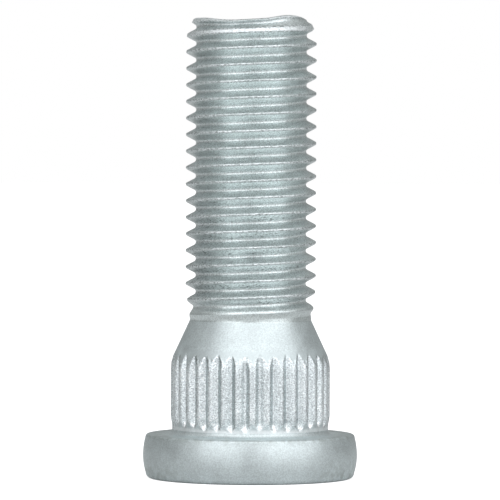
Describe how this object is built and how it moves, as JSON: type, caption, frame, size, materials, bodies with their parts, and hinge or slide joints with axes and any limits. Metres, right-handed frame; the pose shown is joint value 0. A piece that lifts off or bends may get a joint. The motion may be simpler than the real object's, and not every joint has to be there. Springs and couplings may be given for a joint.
{
  "type": "wheel stud",
  "caption": "Steel wheel stud with a round barrel-edged head, knurled press-fit shank, locating cone and rolled right-hand thread.",
  "frame": {"origin": "centre of the back of the head, where the stud stands", "axes": "+Z along the stud from the head to the threaded end, -Y towards the side that the picture shows, +X to its right"},
  "size_m": [0.0194, 0.0194, 0.042],
  "materials": {
    "zinc_plated_steel": "bright zinc plating over rolled and cold-headed steel, satin, with sparkly rough thread crests and knurl"
  },
  "bodies": {
    "root": {"wheel_stud": "zinc_plated_steel"}
  },
  "joints": []
}
